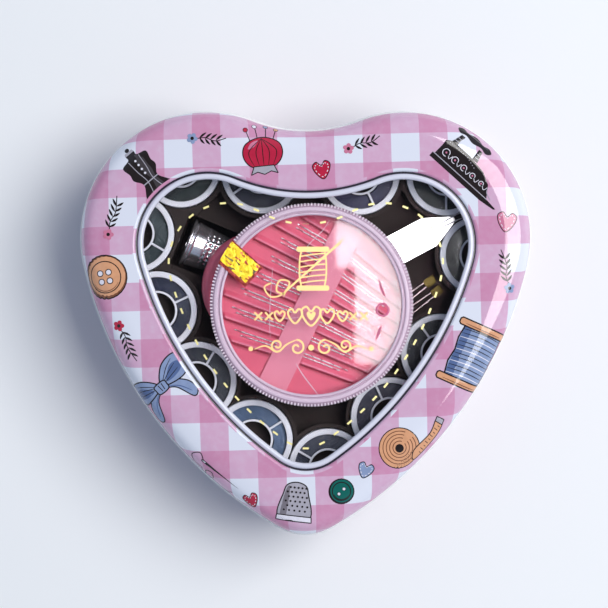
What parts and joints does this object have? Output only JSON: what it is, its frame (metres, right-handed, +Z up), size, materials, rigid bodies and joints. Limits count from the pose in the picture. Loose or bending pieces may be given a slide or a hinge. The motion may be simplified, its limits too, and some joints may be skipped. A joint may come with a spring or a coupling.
{
  "type": "sewing tin",
  "caption": "Heart-shaped tin box with a windowed slip lid; a black tray inside holds thread spools, a needle compact, tape measure, thimble, threader and safety pins.",
  "frame": {"origin": "middle of the tin's footprint, on the surface it stands on", "axes": "+Z up through the lid; +Y towards the notch between the lobes; the point of the heart is towards -Y; +X to the right seen from above with the notch away"},
  "size_m": [0.1544, 0.1452, 0.048],
  "materials": {
    "printed_tinplate": "glossy lacquer over a pink and white gingham print",
    "plain_tinplate": "satin lacquer",
    "clear_sheet": "clear",
    "black_tray": "glossy",
    "clear_plastic": "clear with frosted edges",
    "pink_card": "soft",
    "needle_steel": "polished",
    "gold_foil": "foil",
    "pink_plastic": "glossy",
    "white_plastic": "satin",
    "tape_fabric": "woven, coated",
    "plated_steel": "dimpled",
    "bright_aluminium": "bright",
    "brass_gilt": "bright",
    "thread_slate": "glossy thread",
    "thread_black_green": "glossy thread",
    "thread_dark_green": "glossy thread",
    "thread_navy": "glossy thread",
    "thread_charcoal": "glossy thread",
    "thread_steel_blue": "glossy thread",
    "thread_blue_grey": "glossy thread",
    "thread_violet_grey": "glossy thread",
    "thread_black": "glossy thread",
    "thread_olive_brown": "glossy thread",
    "thread_navy_violet": "glossy thread"
  },
  "bodies": {
    "tin_base": {"base_wall": "printed_tinplate", "base_bottom": "plain_tinplate", "tray": "black_tray", "compact_base": "clear_plastic", "needle_card": "pink_card", "needles_left": "needle_steel", "needles_right": "needle_steel", "needle_band": "pink_card", "tape_case_bottom": "pink_plastic", "tape_case_top": "pink_plastic", "tape_tab": "needle_steel", "thimble": "plated_steel", "threader_plate": "bright_aluminium", "threader_wire": "needle_steel", "safety_pin_wires": "needle_steel", "safety_pin_heads": "brass_gilt"},
    "lid": {"lid_shell": "printed_tinplate", "lid_window": "clear_sheet"},
    "spool_01_wound": {"spool_01": "clear_plastic", "thread_01": "thread_slate"},
    "spool_02_wound": {"spool_02": "clear_plastic", "thread_02": "thread_black_green"},
    "spool_03_wound": {"spool_03": "clear_plastic", "thread_03": "thread_dark_green"},
    "spool_04_wound": {"spool_04": "clear_plastic", "thread_04": "thread_navy"},
    "spool_05_wound": {"spool_05": "clear_plastic", "thread_05": "thread_charcoal"},
    "spool_06_wound": {"spool_06": "clear_plastic", "thread_06": "thread_steel_blue"},
    "spool_07_wound": {"spool_07": "clear_plastic", "thread_07": "thread_blue_grey"},
    "spool_08_wound": {"spool_08": "clear_plastic", "thread_08": "thread_violet_grey"},
    "spool_09_wound": {"spool_09": "clear_plastic", "thread_09": "thread_black"},
    "spool_10_wound": {"spool_10": "clear_plastic", "thread_10": "thread_olive_brown"},
    "spool_11_wound": {"spool_11": "clear_plastic", "thread_11": "thread_black_green"},
    "spool_12_wound": {"spool_12": "clear_plastic", "thread_12": "thread_navy_violet"},
    "needle_cover": {"compact_cover": "clear_plastic", "seal_label": "gold_foil"},
    "tape_release": {"tape_button": "pink_plastic"},
    "tape_reel": {"tape_drum": "white_plastic", "tape_ribbon": "tape_fabric", "tape_spring": "needle_steel"}
  },
  "joints": [
    {"name": "lid_lift", "type": "slide", "parent": "tin_base", "child": "lid", "axis": [0, 0, 1], "range_m": [0, 0.06]},
    {"name": "spool_01_turn", "type": "hinge", "parent": "tin_base", "child": "spool_01_wound", "pos_m": [-0.01523, 0.0511, 0.026], "axis": [0, 0, 1], "continuous": true},
    {"name": "spool_02_turn", "type": "hinge", "parent": "tin_base", "child": "spool_02_wound", "pos_m": [-0.04281, 0.05324, 0.026], "axis": [0, 0, 1], "continuous": true},
    {"name": "spool_03_turn", "type": "hinge", "parent": "tin_base", "child": "spool_03_wound", "pos_m": [-0.05875, 0.03065, 0.026], "axis": [0, 0, 1], "continuous": true},
    {"name": "spool_04_turn", "type": "hinge", "parent": "tin_base", "child": "spool_04_wound", "pos_m": [-0.05097, 0.00411, 0.026], "axis": [0, 0, 1], "continuous": true},
    {"name": "spool_05_turn", "type": "hinge", "parent": "tin_base", "child": "spool_05_wound", "pos_m": [-0.03736, -0.02001, 0.026], "axis": [0, 0, 1], "continuous": true},
    {"name": "spool_06_turn", "type": "hinge", "parent": "tin_base", "child": "spool_06_wound", "pos_m": [-0.01812, -0.03991, 0.026], "axis": [0, 0, 1], "continuous": true},
    {"name": "spool_07_turn", "type": "hinge", "parent": "tin_base", "child": "spool_07_wound", "pos_m": [0.00769, -0.04984, 0.026], "axis": [0, 0, 1], "continuous": true},
    {"name": "spool_08_turn", "type": "hinge", "parent": "tin_base", "child": "spool_08_wound", "pos_m": [0.02904, -0.03222, 0.026], "axis": [0, 0, 1], "continuous": true},
    {"name": "spool_09_turn", "type": "hinge", "parent": "tin_base", "child": "spool_09_wound", "pos_m": [0.04621, -0.0105, 0.026], "axis": [0, 0, 1], "continuous": true},
    {"name": "spool_10_turn", "type": "hinge", "parent": "tin_base", "child": "spool_10_wound", "pos_m": [0.05963, 0.02315, 0.026], "axis": [0, 0, 1], "continuous": true},
    {"name": "spool_11_turn", "type": "hinge", "parent": "tin_base", "child": "spool_11_wound", "pos_m": [0.04817, 0.05046, 0.026], "axis": [0, 0, 1], "continuous": true},
    {"name": "spool_12_turn", "type": "hinge", "parent": "tin_base", "child": "spool_12_wound", "pos_m": [0.01856, 0.05074, 0.026], "axis": [0, 0, 1], "continuous": true},
    {"name": "needle_cover_turn", "type": "hinge", "parent": "tin_base", "child": "needle_cover", "pos_m": [0.002, 0.0062, 0.04], "axis": [0, 0, 1], "continuous": true},
    {"name": "tape_button_press", "type": "slide", "parent": "tin_base", "child": "tape_release", "axis": [0, 0, -1], "range_m": [0, 0.001], "stiffness_N_per_m": 300, "springref_m": -0.0005},
    {"name": "tape_reel_turn", "type": "hinge", "parent": "tin_base", "child": "tape_reel", "pos_m": [-0.0168, 0.0123, 0.03], "axis": [0, 0, 1], "continuous": true}
  ]
}
